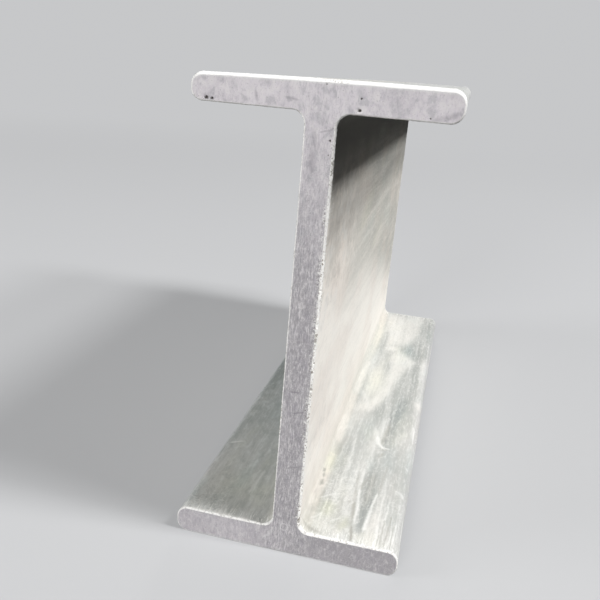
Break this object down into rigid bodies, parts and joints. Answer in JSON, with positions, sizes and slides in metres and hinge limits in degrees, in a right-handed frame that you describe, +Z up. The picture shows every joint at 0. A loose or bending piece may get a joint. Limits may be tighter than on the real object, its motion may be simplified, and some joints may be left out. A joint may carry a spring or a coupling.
{
  "type": "fiberglass i-beam",
  "caption": "Short sawn piece of a pultruded fibreglass I-beam: two equal flanges with rounded toes joined by a plain web, with filleted roots and eased sawn ends.",
  "frame": {"origin": "middle of the bottom flange's underside, on the surface the piece stands on", "axes": "+Z up, from the bottom flange to the top flange; +Y along the beam, away from the sawn end the camera sees; +X across the flanges"},
  "size_m": [0.05, 0.158, 0.1],
  "materials": {
    "pultruded_glass_resin": "satin"
  },
  "bodies": {
    "root": {"i_beam": "pultruded_glass_resin"}
  },
  "joints": []
}
